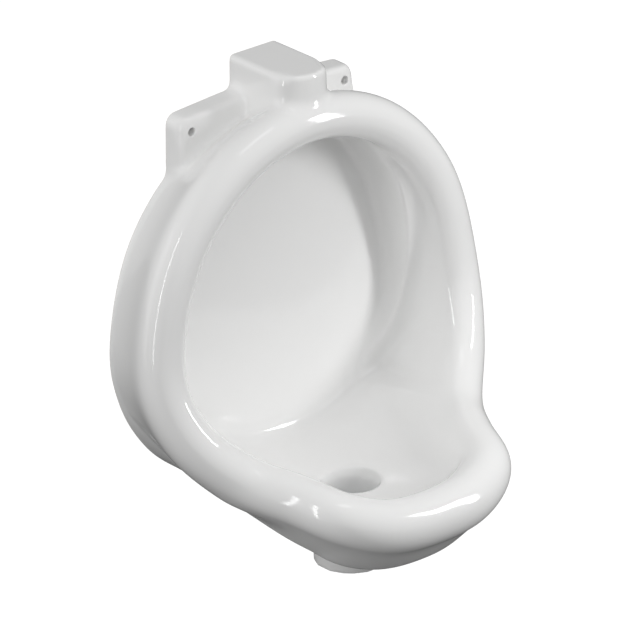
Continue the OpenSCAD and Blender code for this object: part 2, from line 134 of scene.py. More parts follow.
# The bowl in millimetres and degrees: the outline at the wall, the rolled rim, its way
# forward to the lip, the back panel with the wall round it, and the floor. Depths are from
# the wall, drops are from the fixing holes
bowlShape = {
    "backHalf": 190.5, "backDrop": 215, "backRise": 208, "backFall": 188, "land": 14,
    "rimHalf": 196, "rimDrop": 212, "rimRise": 216, "rimDepth": 79, "sideDepth": 86,
    "rollRadius": 23.5, "lipRadius": 27.5, "rollBack": 4,
    "lipDepth": 268, "lipDrop": 154,
    "hipIn": 15, "hipDepth": 112, "hipDrop": 69,
    "waistIn": 54, "waistDepth": 150, "waistDrop": 112,
    "lipHalf": 115, "lipRun": 72, "lipDip": 29,
    "cornerHalf": 95, "cornerRun": 24, "cornerDip": 18,
    "panelDepth": 30, "panelHalf": 149, "panelTop": 12, "panelFoot": 359,
    "bend": 16, "sideRise": 28, "wallDepth": 30, "shoulderDepth": 45,
    "crownDepth": 36, "wallLean": 3, "wallFillet": 12, "flareTilt": 0.4,
    "hipHalf": 136, "hipRise": 86, "footHalf": 104, "footRise": 34,
    "poolHalf": 62, "poolTaper": 6, "poolRun": 64, "poolCorner": 24, "tipEase": 4,
    "panelHub": 60, "floorGap": 42, "china": 12, "belly": 63, "behindWall": 6,
    "hollowHalf": 92, "hollowReach": 226, "hollowHeight": 18, "hollowCrown": 6,
    "outletDepth": 148, "floorDrop": 368, "riseAt": 100, "bendSpan": 1.6, "floorSoft": 0.45,
    "skirtLeave": 0.36, "skirtArrive": 0.42, "flareLeave": 0.36, "wallPull": 0.75,
    "footPull": 0.7, "fanFrom": 0.96, "fanTo": 0.04, "fanBase": 0.8, "fanSpread": 0.2,
    "spanSteps": 30, "skirtSteps": 20, "valleySteps": 26, "rollSteps": 44, "flareSteps": 24,
    "wallSteps": 14, "panelSteps": 24, "evenSteps": 50,
}
s = bowlShape
# The soft valley between skirt and roll, from the top of the rim down to the lip: drop of
# the roll, share of the skirt that stays before it, degrees of the roll that it takes up,
# how far its start leans towards the roll, and how long it keeps both directions
valleyShape = {"drop": (0, 104, 212, 281, 324, 337, 366),
               "share": (0.2, 0.12, 0.06, 0.1, 0.36, 0.62, 0.8),
               "taken": (66, 80, 94, 98, 90, 62, 42),
               "lean": (0.7, 0.7, 0.7, 0.68, 0.56, 0.5, 0.5),
               "leave": (0.5, 0.5, 0.5, 0.48, 0.4, 0.36, 0.36),
               "arrive": (0.2, 0.2, 0.2, 0.22, 0.32, 0.36, 0.36)}
floorHeight = -s["floorDrop"]
bendDepth = s["panelDepth"] + s["bend"]
dishDepth = s["outletDepth"] - bendDepth
dish = (s["floorDrop"] - s["panelFoot"]) / dishDepth ** 2
floorEnd = s["lipDepth"] - s["floorGap"]
lipHeight = -s["rimDrop"] - s["lipDrop"]


def floorZ(depth):
    return floorHeight + dish * (depth - s["outletDepth"]) ** 2


def lift(x):
    # the floor climbs towards the sides, by sideRise at riseAt from the middle
    return s["sideRise"] * x * x / s["riseAt"] ** 2


def bendStart(x):
    return s["panelFoot"] - s["panelTop"] - s["bend"] - lift(x)


def bendEnd(x):
    return bendStart(x) + s["bendSpan"] * s["bend"]


def bezier(points, u):
    if len(points) == 3:
        a, b, c = points
        return a * (1 - u) ** 2 + b * 2 * u * (1 - u) + c * u * u
    a, b, c, d = points
    return (a * (1 - u) ** 3 + b * 3 * u * (1 - u) ** 2 + c * 3 * u * u * (1 - u)
            + d * u ** 3)


def basePoint(x, m):
    # a point of the inner surface, x across and m down from the panel's top
    x, m = np.asarray(x, float), np.asarray(m, float)
    top, foot, up = bendStart(x), bendEnd(x), lift(x)
    u = np.clip((m - top) / (foot - top), 0, 1)
    startZ = up - s["panelFoot"] + s["bend"]
    endZ = up + floorZ(bendDepth)
    handleZ = endZ + 2 * dish * dishDepth * s["bend"]
    depth = bezier((s["panelDepth"], s["panelDepth"], bendDepth), u)
    z = bezier((startZ, handleZ, endZ), u)
    over = np.maximum(m - foot, 0)
    depth = depth + over
    z = np.where(m <= top, -s["panelTop"] - m, np.where(m < foot, z, up + floorZ(depth)))
    return np.stack([x, -depth, z], -1)


def backHeight(angle):
    c = math.cos(angle)
    return -s["backDrop"] + (s["backRise"] if c > 0 else s["backFall"]) * c


def station(x, depth, z, r, turn, inner, backAngle, baseX, baseM, soft, wall, spread):
    a, b = math.radians(backAngle), math.radians(spread)
    return [x, -depth, z, r, turn, inner, s["backHalf"] * math.sin(a), backHeight(a),
            baseX, baseM, soft, wall, math.sin(b), math.cos(b)]


def upperStation(angle, inner, soft, wall):
    a = math.radians(angle)
    depth = s["rimDepth"] + (s["sideDepth"] - s["rimDepth"]) * (1 - math.cos(a)) ** 3
    return station(s["rimHalf"] * math.sin(a), depth,
                   -s["rimDrop"] + s["rimRise"] * math.cos(a),
                   s["rollRadius"], 0, inner, angle, s["panelHalf"] * math.sin(a),
                   (s["rimDrop"] - s["panelTop"]) * (1 - math.cos(a)), soft, wall, angle)


def floorStation(x, depth, z, r, turn, inner, backAngle, baseX, baseDepth, spread):
    return station(x, depth, z, r, turn, inner, backAngle, baseX,
                   bendEnd(baseX) + baseDepth - bendDepth, s["floorSoft"], 0, spread)


# One row per station down the right side: x, depth, height, radius, turn of the face, end
# of the roll inside, place on the wall outline, base x, base distance down the panel,
# softness, depth of the wall, and which way is outwards on the inner surface
sideStations = [
    upperStation(0, 80, 0.4, s["crownDepth"]),
    upperStation(30, 78, 0.4, s["shoulderDepth"] - 3),
    upperStation(60, 70, 0.4, s["shoulderDepth"]),
    upperStation(90, 60, 0.42, s["wallDepth"]),
    station(s["rimHalf"] - s["hipIn"], s["hipDepth"], -s["rimDrop"] - s["hipDrop"],
            s["rollRadius"] + 0.5, 12, 54, 112, s["hipHalf"],
            s["panelFoot"] - s["hipRise"] - s["panelTop"], 0.43, s["wallDepth"] * 0.62, 104),
    station(s["rimHalf"] - s["waistIn"], s["waistDepth"], -s["rimDrop"] - s["waistDrop"],
            s["rollRadius"] + 1.5, 35, 54, 130, s["footHalf"],
            s["panelFoot"] - s["footRise"] - s["panelTop"], 0.42, s["wallDepth"] * 0.1, 108),
    floorStation(s["lipHalf"], s["lipDepth"] - s["lipRun"], lipHeight + s["lipDip"],
                 s["rollRadius"] + 2.5, 58, 60, 144, s["poolHalf"] + s["poolTaper"],
                 floorEnd - s["poolRun"], 104),
    floorStation(s["cornerHalf"], s["lipDepth"] - s["cornerRun"], lipHeight + s["cornerDip"],
                 s["lipRadius"] - 1, 76, 64, 156, s["poolHalf"] - s["poolTaper"],
                 floorEnd - s["poolCorner"], 128),
    floorStation(s["cornerHalf"] * 0.56, s["lipDepth"] - s["tipEase"],
                 lipHeight + s["tipEase"], s["lipRadius"], 84, 66, 168,
                 s["poolHalf"] * 0.55, floorEnd - s["tipEase"], 158),
    floorStation(0, s["lipDepth"], lipHeight, s["lipRadius"], 86, 66, 180, 0, floorEnd, 180)]


def unit(v):
    return v / np.linalg.norm(v, axis=-1, keepdims=True)


def rimPlaces():
    # one smooth closed line through the stations of both sides
    flip = np.array([-1, 1, 1, 1, 1, 1, -1, 1, -1, 1, 1, 1, -1, 1])
    right = np.array(sideStations)
    rows = np.concatenate([right, right[-2:0:-1] * flip])
    u = (np.arange(s["spanSteps"]) / s["spanSteps"])[None, :, None]
    a, b, c, d = (np.roll(rows, k, axis=0)[:, None, :] for k in (1, 0, -1, -2))
    curve = 0.5 * (2 * b + (c - a) * u + (2 * a - 5 * b + 4 * c - d) * u ** 2
                   + (3 * b - a - 3 * c + d) * u ** 3)
    places = curve.reshape(-1, rows.shape[1])
    for step in range(s["evenSteps"]):  # takes the jumps of curvature out at the stations
        places = (np.roll(places, 1, axis=0) + 2 * places + np.roll(places, -1, axis=0)) / 4
    return places


leadRings = (1, 0.5)  # shares of behindWall
shareStep = 0.01
turnStep = 1  # degrees


def bowlSkin():
    # rings round the rim: out along the skirt, over the roll, and down inside to the floor
    p = rimPlaces()
    centre = p[:, :3]
    along = unit(np.roll(centre, -1, axis=0) - np.roll(centre, 1, axis=0))
    turn = np.radians(p[:, 4])
    face = np.stack([np.zeros(len(p)), -np.cos(turn), np.sin(turn)], -1)
    face = unit(face - (face * along).sum(-1, keepdims=True) * along)
    out = np.cross(face, along)
    radius = p[:, 3:4]

    def roll(angle):
        a = np.radians(np.broadcast_to(angle, len(p)))[:, None]
        return centre + radius * (np.cos(a) * face + np.sin(a) * out)

    wallLine = np.stack([p[:, 6], np.zeros(len(p)), p[:, 7]], -1)
    rollStart = roll(180 + s["rollBack"])
    reach = np.linalg.norm(rollStart - wallLine, axis=-1, keepdims=True)
    rise = np.sin(turn)[:, None]
    under = rise * rise
    straight = np.array([0, -1, 0])
    forward = straight * reach * s["skirtLeave"] * (1 + under)
    back = face * (reach * s["skirtArrive"] * (1 - rise) + s["belly"] * under)
    skirt = (wallLine, wallLine + forward, rollStart - back, rollStart)
    # the skin starts a little behind the wall, and cutAtWall takes that off at the end
    rings = [wallLine - straight * s["behindWall"] * f for f in leadRings]
    share, taken, lean, leave, arrive = (
        np.interp(-p[:, 2], valleyShape["drop"], valleyShape[name])[:, None]
        for name in ("share", "taken", "lean", "leave", "arrive"))
    taken = taken[:, 0]
    rings += [bezier(skirt, share * j / s["skirtSteps"]) for j in range(s["skirtSteps"])]
    # glaze fills the groove between skirt and roll to a soft valley
    first, last = 180 + s["rollBack"] - taken, -p[:, 5]
    low, high = bezier(skirt, share), roll(first)
    width = np.linalg.norm(high - low, axis=-1, keepdims=True)
    start = unit(unit(bezier(skirt, share + shareStep) - low) * (1 - lean)
                 + (high - low) / width * lean)
    end = unit(roll(first - turnStep) - high)
    valley = (low, low + start * width * leave, high - end * width * arrive, high)
    rings += [bezier(valley, j / s["valleySteps"]) for j in range(s["valleySteps"])]
    rings += [roll(first + (last - first) * j / s["rollSteps"])
              for j in range(s["rollSteps"] + 1)]

    baseX, baseM, wall = p[:, 8], p[:, 9], p[:, 11:12]

    def outward(gap):
        return basePoint(baseX + gap * p[:, 12], baseM - gap * p[:, 13])

    corner = outward(0)
    wallTop = outward(s["wallLean"]) + straight * wall
    inside = roll(-p[:, 5])
    a = np.radians(p[:, 5])[:, None]
    down = -np.sin(a) * face - np.cos(a) * out
    gap = np.linalg.norm(wallTop - inside, axis=-1, keepdims=True)
    lean = unit(unit(outward(s["wallLean"]) - corner)
                + straight * s["flareTilt"] * wall / s["crownDepth"])
    flare = (inside, inside + down * gap * s["flareLeave"],
             wallTop + lean * gap * p[:, 10:11], wallTop)
    rings += [bezier(flare, j / s["flareSteps"]) for j in range(1, s["flareSteps"] + 1)]
    foot = outward(-s["wallFillet"])
    wallCurve = (wallTop, wallTop + (corner - wallTop) * s["wallPull"],
                 foot + (corner - foot) * s["footPull"], foot)
    rings += [bezier(wallCurve, j / s["wallSteps"]) for j in range(1, s["wallSteps"] + 1)]
    hub = bendStart(0) - s["panelHub"]
    footX, footM = baseX - s["wallFillet"] * p[:, 12], baseM + s["wallFillet"] * p[:, 13]
    rings += [basePoint(footX * f, hub + (footM - hub) * (s["fanBase"] + s["fanSpread"] * f))
              for f in np.linspace(s["fanFrom"], s["fanTo"], s["panelSteps"])]
    return [ring * mm for ring in rings]


hollowShape = {"backPoints": 120, "rings": 24, "points": 72, "from": 60, "to": 180,
               "round": 0.6, "leastHeight": 4, "leastHalf": 10, "past": 6, "overlap": 2}


def backHollow():
    h = hollowShape
    outline = []
    for k in range(h["backPoints"]):
        a = 2 * math.pi * k / h["backPoints"]
        outline.append(((s["backHalf"] - s["land"]) * math.sin(a),
                        backHeight(a) - s["land"] * math.cos(a)))
    ends = (s["behindWall"] + h["past"], s["china"] - s["panelDepth"])
    return loftSolid("backHollow", [[(x * mm, y * mm, z * mm) for x, z in outline]
                                    for y in ends])


def floorHollow():
    # opens into the back hollow and closes to a round end in front
    h = hollowShape
    rings = []
    start = s["panelDepth"] - s["china"] - h["overlap"]
    for j in range(h["rings"]):
        u = j / (h["rings"] - 1)
        depth = start + (s["hollowReach"] - start) * u
        turn = math.radians(h["from"] + (h["to"] - h["from"]) * u)
        swell = max(0.0, math.sin(turn)) ** h["round"]
        high = max(h["leastHeight"], s["hollowHeight"] * swell)
        wide = max(h["leastHalf"], s["hollowHalf"] * swell)
        crown = s["hollowCrown"] * wide / s["hollowHalf"]
        ring = []
        for k in range(h["points"]):
            a = 2 * math.pi * k / h["points"]
            x, c = wide * math.sin(a), math.cos(a)
            drop = (c - 1) * crown if c > 0 else high * c - crown
            z = floorZ(depth) - s["china"] + lift(x) + drop
            ring.append((x * mm, -depth * mm, z * mm))
        rings.append(ring)
    return loftSolid("floorHollow", rings)


earShape = {"holeGap": 202, "holeRadius": 4.5, "chamfer": 1, "thick": 24, "out": 14, "up": 15,
            "slope": 3.5, "corner": 12, "edge": 4, "low": -60, "cornerSteps": 12,
            "edgeSteps": 8, "chamferSteps": 6, "holePoints": 48, "past": 2}


def fixingEars():
    e = earShape
    half, inner = e["holeGap"] / 2 + e["out"], blockShape["width"] / 2
    rise = math.tan(math.radians(e["slope"])) * (half - inner)
    side = [(half, e["low"])]
    for k in range(e["cornerSteps"] + 1):
        a = math.radians(90 * k / e["cornerSteps"])
        side.append((half - e["corner"] + e["corner"] * math.cos(a),
                     e["up"] - e["corner"] + e["corner"] * math.sin(a)))
    side.append((inner, e["up"] + rise))
    outline = side + [(-x, z) for x, z in reversed(side)]
    rings = []
    for k in range(e["edgeSteps"] + 1):  # rounded front edge
        a = math.radians(90 * k / e["edgeSteps"])
        inset = e["edge"] * (1 - math.cos(a))
        y = e["thick"] - e["edge"] * (1 - math.sin(a))
        ring = []
        for x, z in outline:
            px = x - math.copysign(inset, x)
            pz = z - (inset if z > e["up"] - e["corner"] else 0)
            ring.append((px * mm, -y * mm, pz * mm))
        rings.append(ring)
    rings.insert(0, [(x * mm, s["behindWall"] * mm, z * mm) for x, z in outline])
    return cappedSolid("fixingEars", rings)


blockShape = {"width": 62, "top": 56, "side": 75, "bow": 18, "edge": 4, "foot": -14,
              "bowSteps": 20, "edgeSteps": 8}


def topBlock():
    b = blockShape

    def outline(inset):
        half = b["width"] / 2 - inset
        deep = b["bow"] - inset / 2
        r = (half * half + deep * deep) / (2 * deep)
        end = math.asin(half / r)
        row = [(half, s["behindWall"])]
        for k in range(2 * b["bowSteps"] + 1):  # the front is an arc from side to side
            a = end * (1 - k / b["bowSteps"])
            row.append((r * math.sin(a), -b["side"] - deep + r * (1 - math.cos(a))))
        return row + [(-half, s["behindWall"])]

    rings = [[(x * mm, y * mm, b["foot"] * mm) for x, y in outline(0)]]
    for k in range(b["edgeSteps"] + 1):  # rounded top edge
        a = math.radians(90 * k / b["edgeSteps"])
        inset = b["edge"] * (1 - math.cos(a))
        z = b["top"] - b["edge"] * (1 - math.sin(a))
        rings.append([(x * mm, y * mm, z * mm) for x, y in outline(inset)])
    return cappedSolid("topBlock", rings)


outletShape = {"bore": 27, "seat": 30.5, "seatDepth": 8, "spigotEnd": -454, "spigot": 37.5,
               "land": 14, "cone": 14, "root": 42, "rootTop": 3, "throat": 22, "ledge": 6,
               "past": 2, "mouth": 1, "above": 12}


def spigotSolid():
    o = outletShape
    end = o["spigotEnd"]
    profile = [(o["spigot"], end), (o["spigot"], end + o["land"]),
               (o["root"], end + o["land"] + o["cone"]),
               (o["root"], floorHeight - o["rootTop"])]
    return turnedSolid("spigot", (0, -s["outletDepth"] * mm),
                       [(r * mm, z * mm) for r, z in profile])


def outletBores():
    o = outletShape
    ledge = o["spigotEnd"] + o["ledge"]
    seat = floorHeight - o["seatDepth"]
    profile = [(o["throat"], o["spigotEnd"] - o["past"]), (o["throat"], ledge),
               (o["bore"], ledge), (o["bore"], seat), (o["seat"], floorHeight + o["mouth"]),
               (o["seat"], floorHeight + o["above"])]
    return turnedSolid("outletBores", (0, -s["outletDepth"] * mm),
                       [(r * mm, z * mm) for r, z in profile])


def fixingHole(side):
    e = earShape
    count = e["holePoints"]
    profile = [(e["holeRadius"], s["behindWall"] + e["past"])]
    for k in range(e["chamferSteps"] + 1):  # rounded mouth
        a = math.radians(90 * k / e["chamferSteps"])
        profile.append((e["holeRadius"] + e["chamfer"] * (1 - math.cos(a)),
                        e["chamfer"] * (1 - math.sin(a)) - e["thick"]))
    profile.append((e["holeRadius"] + e["chamfer"], -e["thick"] - e["past"]))
    rings = [[((side * e["holeGap"] / 2 + r * math.sin(2 * math.pi * k / count)) * mm,
               y * mm, r * math.cos(2 * math.pi * k / count) * mm) for k in range(count)]
             for r, y in profile]
    return loftSolid("fixingHole", rings)


# The casting is joined from its solids, remeshed, laid back on them, and then softened
# along the joins as a glazed casting is
finish = {"voxel": 2.0, "sharp": 24, "fillet": 15, "filletSteps": 70, "valley": 24,
          "valleySteps": 40, "edge": 3.2, "edgeSteps": 4, "plainSteps": 10, "lastSteps": 2,
          "ease": 0.5, "core": 0.35, "levels": 20}


def creasePoints(ob, minimum):
    # points along the sharp edges of a mesh
    bm = bmesh.new()
    bm.from_mesh(ob.data)
    points = []
    for edge in bm.edges:
        if len(edge.link_faces) == 2 and edge.calc_face_angle(0) > math.radians(minimum):
            a, b = edge.verts[0].co, edge.verts[1].co
            steps = max(1, int((b - a).length / (finish["voxel"] * mm)))
            points += [a.lerp(b, (k + 0.5) / steps) for k in range(steps)]
    bm.free()
    return points


def closeness(ob, points, radius):
    # 1 on the points, falling to 0 at the given distance
    tree = kdtree.KDTree(len(points))
    for k, point in enumerate(points):
        tree.insert(point, k)
    tree.balance()
    weights = []
    for vertex in ob.data.vertices:
        distance = tree.find(vertex.co)[2]
        u = (distance / (radius * mm) - finish["core"]) / (1 - finish["core"])
        u = min(1.0, max(0.0, u))
        weights.append(1 - u * u * (3 - 2 * u))
    return np.array(weights)


def addGroup(ob, name, weights):
    group = ob.vertex_groups.new(name=name)
    count = finish["levels"]
    levels = np.round(weights * count).astype(int)
    for level in range(1, count + 1):
        index = np.nonzero(levels == level)[0].tolist()
        if index:
            group.add(index, level / count, "REPLACE")


softZones = {"behind": 3, "earFoot": -75, "blockFront": -110, "belly": -385, "collar": 2}


def softJoin(point):
    # the joins of ears, block and spigot with the bowl, away from the wall
    x, y, z = point / mm
    if y > softZones["behind"]:
        return False
    upper = z > softZones["earFoot"] and y > softZones["blockFront"]
    away = math.hypot(x, y + s["outletDepth"]) - outletShape["spigot"]
    return upper or (z < softZones["belly"] and away > softZones["collar"])


cutGap = 1e-7  # metres


def cutAtWall(ob):
    # everything behind the wall goes, and the flat land left there is closed
    bm = bmesh.new()
    bm.from_mesh(ob.data)
    bmesh.ops.bisect_plane(bm, geom=bm.verts[:] + bm.edges[:] + bm.faces[:], dist=cutGap,
                           plane_co=(0, 0, 0), plane_no=(0, 1, 0), clear_outer=True)
    rim = [edge for edge in bm.edges if edge.is_boundary]
    closed = bmesh.ops.triangle_fill(bm, edges=rim, use_beauty=True, normal=(0, 1, 0))
    flat = [item for item in closed["geom"] if isinstance(item, bmesh.types.BMFace)]
    bmesh.ops.recalc_face_normals(bm, faces=bm.faces)
    for face in bm.faces:
        face.smooth = True
    for face in flat:
        face.smooth = False
    for edge in rim:
        if edge.is_valid:
            edge.smooth = False
    loose = sum(1 for edge in bm.edges if len(edge.link_faces) != 2)
    print("wall cut:", len(flat), "faces on the land,", loose, "open edges")
    bm.to_mesh(ob.data)
    bm.free()


def joinCasting(rings):
    bowl = loftSolid("chinaBowl", rings)
    print("rim and skin:", len(bowl.data.vertices), "points")
    for makePart, operation in ((fixingEars, "UNION"), (topBlock, "UNION"),
                                (backHollow, "DIFFERENCE"), (floorHollow, "DIFFERENCE"),
                                (spigotSolid, "UNION"), (outletBores, "DIFFERENCE")):
        combine(bowl, makePart(), operation)
    print("casting joined:", len(bowl.data.vertices), "points")
    return bowl


def softenCasting(bowl, valley):
    exact = addObject("exactBowl", bowl.data.copy())
    creases = creasePoints(exact, finish["sharp"])
    soft = [p for p in creases if softJoin(p)]
    crisp = [p for p in creases if not softJoin(p)]
    print("creases:", len(soft), "soft,", len(crisp), "crisp")

    mod = bowl.modifiers.new("Remesh", "REMESH")
    mod.mode = "VOXEL"
    mod.voxel_size = finish["voxel"] * mm
    mod.use_smooth_shade = True
    bakeModifiers(bowl)
    softWeights = closeness(bowl, soft, finish["fillet"])
    crispWeights = closeness(bowl, crisp, finish["edge"])
    addGroup(bowl, "exact", 1 - np.maximum(softWeights, crispWeights))
    addGroup(bowl, "soft", softWeights)
    addGroup(bowl, "crisp", crispWeights)
    addGroup(bowl, "plain", 1 - crispWeights)
    addGroup(bowl, "valley", closeness(bowl, valley, finish["valley"]))

    mod = bowl.modifiers.new("LayBack", "SHRINKWRAP")
    mod.target = exact
    mod.wrap_method = "NEAREST_SURFACEPOINT"
    mod.vertex_group = "exact"
    for group, steps in (("soft", finish["filletSteps"]), ("valley", finish["valleySteps"]),
                         ("crisp", finish["edgeSteps"]), ("plain", finish["plainSteps"]),
                         ("", finish["lastSteps"])):
        mod = bowl.modifiers.new("Soften", "SMOOTH")
        mod.factor = finish["ease"]
        mod.iterations = steps
        mod.vertex_group = group
    bakeModifiers(bowl)
    bowl.vertex_groups.clear()
    removeObject(exact)


def buildBowl():
    rings = bowlSkin()
    valleyRing = rings[len(leadRings) + s["skirtSteps"] + s["valleySteps"] // 2]
    bowl = joinCasting(rings)
    softenCasting(bowl, [Vector(p) for p in valleyRing])
    for side in (-1, 1):
        combine(bowl, fixingHole(side), "DIFFERENCE")
    print("fixing holes cut")
    cutAtWall(bowl)
    print("bowl finished:", len(bowl.data.polygons), "faces")
    return bowl


def newMaterial(name):
    material = bpy.data.materials.new(name)
    material.use_nodes = True
    nodes = material.node_tree.nodes
    nodes.clear()
    output = nodes.new("ShaderNodeOutputMaterial")
    shader = nodes.new("ShaderNodeBsdfPrincipled")
    material.node_tree.links.new(shader.outputs["BSDF"], output.inputs["Surface"])
    return material, nodes, material.node_tree.links, shader


mottleLook = {"cloudDetail": 3, "grainDetail": 2, "low": 0.3, "high": 0.7, "glossSpread": 0.04}


def mottleGroup():
    # soft cloudiness in tone and gloss, with a fine ripple for the height
    group = bpy.data.node_groups.new("mottle", "ShaderNodeTree")
    sockets = group.interface
    for name, kind, value in (("Base", "NodeSocketColor", (0.8, 0.8, 0.8, 1)),
                              ("Depth", "NodeSocketFloat", 0.02),
                              ("Gloss", "NodeSocketFloat", 0.1),
                              ("Cloud Scale", "NodeSocketFloat", 9.0),
                              ("Grain Scale", "NodeSocketFloat", 200.0)):
        socket = sockets.new_socket(name=name, in_out="INPUT", socket_type=kind)
        socket.default_value = value
    sockets.new_socket(name="Color", in_out="OUTPUT", socket_type="NodeSocketColor")
    sockets.new_socket(name="Roughness", in_out="OUTPUT", socket_type="NodeSocketFloat")
    sockets.new_socket(name="Height", in_out="OUTPUT", socket_type="NodeSocketFloat")
    nodes, links = group.nodes, group.links
    source = nodes.new("NodeGroupInput")
    target = nodes.new("NodeGroupOutput")
    place = nodes.new("ShaderNodeTexCoord")
    cloud = nodes.new("ShaderNodeTexNoise")
    cloud.inputs["Detail"].default_value = mottleLook["cloudDetail"]
    grain = nodes.new("ShaderNodeTexNoise")
    grain.inputs["Detail"].default_value = mottleLook["grainDetail"]
    for node, scale in ((cloud, "Cloud Scale"), (grain, "Grain Scale")):
        links.new(place.outputs["Object"], node.inputs["Vector"])
        links.new(source.outputs[scale], node.inputs["Scale"])
    spread = nodes.new("ShaderNodeMapRange")
    spread.inputs["From Min"].default_value = mottleLook["low"]
    spread.inputs["From Max"].default_value = mottleLook["high"]
    spread.inputs["To Min"].default_value = 1.0
    links.new(cloud.outputs["Fac"], spread.inputs["Value"])
    lowest = nodes.new("ShaderNodeMath")
    lowest.operation = "SUBTRACT"
    lowest.inputs[0].default_value = 1.0
    links.new(source.outputs["Depth"], lowest.inputs[1])
    links.new(lowest.outputs[0], spread.inputs["To Max"])
    tint = nodes.new("ShaderNodeVectorMath")
    tint.operation = "SCALE"
    links.new(source.outputs["Base"], tint.inputs[0])
    links.new(spread.outputs["Result"], tint.inputs["Scale"])
    links.new(tint.outputs["Vector"], target.inputs["Color"])
    gloss = nodes.new("ShaderNodeMath")
    gloss.operation = "MULTIPLY_ADD"
    gloss.inputs[1].default_value = mottleLook["glossSpread"]
    links.new(cloud.outputs["Fac"], gloss.inputs[0])
    links.new(source.outputs["Gloss"], gloss.inputs[2])
    links.new(gloss.outputs[0], target.inputs["Roughness"])
    links.new(grain.outputs["Fac"], target.inputs["Height"])
    return group


mottle = mottleGroup()


def placeMottle(nodes, values):
    node = nodes.new("ShaderNodeGroup")
    node.node_tree = mottle
    for name, value in values.items():
        node.inputs[name].default_value = value
    return node


def addBump(nodes, links, height, strength, distance, shader):
    bump = nodes.new("ShaderNodeBump")
    bump.inputs["Strength"].default_value = strength
    bump.inputs["Distance"].default_value = distance
    links.new(height, bump.inputs["Height"])
    links.new(bump.outputs["Normal"], shader.inputs["Normal"])


chinaLook = {
    "glaze": {"Base": (0.88, 0.88, 0.875, 1), "Depth": 0.012, "Gloss": 0.06,
              "Cloud Scale": 7.0, "Grain Scale": 55.0},
    "biscuit": {"Base": (0.70, 0.66, 0.60, 1), "Depth": 0.12, "Gloss": 0.75,
                "Cloud Scale": 60.0, "Grain Scale": 900.0},
    "wallBand": 0.0003, "bump": 0.12, "bumpDepth": 0.0002, "refraction": 1.5,
}


def glazedChina():
    look = chinaLook
    material, nodes, links, shader = newMaterial("glazedChina")
    glaze, biscuit = placeMottle(nodes, look["glaze"]), placeMottle(nodes, look["biscuit"])
    place = nodes.new("ShaderNodeTexCoord")
    split = nodes.new("ShaderNodeSeparateXYZ")
    links.new(place.outputs["Object"], split.inputs["Vector"])
    bare = nodes.new("ShaderNodeMapRange")  # the land that meets the wall is left unglazed
    bare.inputs["From Min"].default_value = -look["wallBand"] * 2
    bare.inputs["From Max"].default_value = -look["wallBand"]
    links.new(split.outputs["Y"], bare.inputs["Value"])
    for name, kind in (("Color", "RGBA"), ("Roughness", "FLOAT"), ("Height", "FLOAT")):
        mix = nodes.new("ShaderNodeMix")
        mix.data_type = kind
        links.new(bare.outputs["Result"], mix.inputs["Factor"])
        slots = [k for k in mix.inputs if k.enabled and k.name in ("A", "B")]
        links.new(glaze.outputs[name], slots[0])
        links.new(biscuit.outputs[name], slots[1])
        result = [k for k in mix.outputs if k.enabled][0]
        if name == "Color":
            links.new(result, shader.inputs["Base Color"])
        elif name == "Roughness":
            links.new(result, shader.inputs["Roughness"])
        else:
            addBump(nodes, links, result, look["bump"], look["bumpDepth"], shader)
    shader.inputs["IOR"].default_value = look["refraction"]
    return material


plasticLook = {"depth": 0.06, "clouds": 40.0, "bump": 0.2, "bumpDepth": 0.0001}


def mouldedPlastic(name, colour, roughness, grain):
    look = plasticLook
    material, nodes, links, shader = newMaterial(name)
    tone = placeMottle(nodes, {"Base": colour, "Depth": look["depth"], "Gloss": roughness,
                               "Cloud Scale": look["clouds"], "Grain Scale": grain})
    links.new(tone.outputs["Color"], shader.inputs["Base Color"])
    links.new(tone.outputs["Roughness"], shader.inputs["Roughness"])
    addBump(nodes, links, tone.outputs["Height"], look["bump"], look["bumpDepth"], shader)
    return material


def setMaterial(node, material):
    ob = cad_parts[node]
    ob.data.materials.clear()
    ob.data.materials.append(material)


bowl = buildBowl()
bowl.data.materials.clear()
bowl.data.materials.append(glazedChina())
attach(bowl, "china")
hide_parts("bowl", "spigot")

# The carried solids keep their shapes and get these materials
cartridgeLook = {
    "shellPlastic": {"colour": (0.46, 0.48, 0.50, 1), "roughness": 0.38, "grain": 700},
    "strainerPlastic": {"colour": (0.62, 0.64, 0.66, 1), "roughness": 0.34, "grain": 700},
    "guidePlastic": {"colour": (0.66, 0.66, 0.64, 1), "roughness": 0.42, "grain": 700},
    "sealRubber": {"colour": (0.035, 0.035, 0.038, 1), "roughness": 0.62, "grain": 1400},
    "ballPlastic": {"colour": (0.62, 0.16, 0.03, 1), "roughness": 0.22, "grain": 500},
}
cartridgeParts = {
    "cartridge_body": "shellPlastic", "strainer": "strainerPlastic",
    "ball_guide": "guidePlastic", "clamp_ring": "guidePlastic",
    "upper_seal": "sealRubber", "lower_seal": "sealRubber", "valve_seat": "sealRubber",
    "float_ball": "ballPlastic",
}
materials = {name: mouldedPlastic(name, **look) for name, look in cartridgeLook.items()}
for node, name in cartridgeParts.items():
    setMaterial(node, materials[name])
print("materials set")


# The camera stands far off, so the view is nearly parallel as in a catalogue picture
viewSetup = {"target": (0.0, -0.0859, -0.2015), "towards": (-0.604, -0.687, 0.404),
             "distance": 10.0, "width": 0.62, "sensor": 36.0, "clip": 100}


def aim(ob, target):
    direction = Vector(target) - ob.location
    ob.rotation_euler = direction.to_track_quat("-Z", "Y").to_euler()


def addCamera():
    v = viewSetup
    data = bpy.data.cameras.new("camera")
    camera = addObject("camera", data)
    data.sensor_width = v["sensor"]
    data.lens = v["sensor"] * v["distance"] / v["width"]
    data.clip_end = v["clip"]
    camera.location = Vector(v["target"]) + Vector(v["towards"]).normalized() * v["distance"]
    aim(camera, v["target"])
    bpy.context.scene.camera = camera


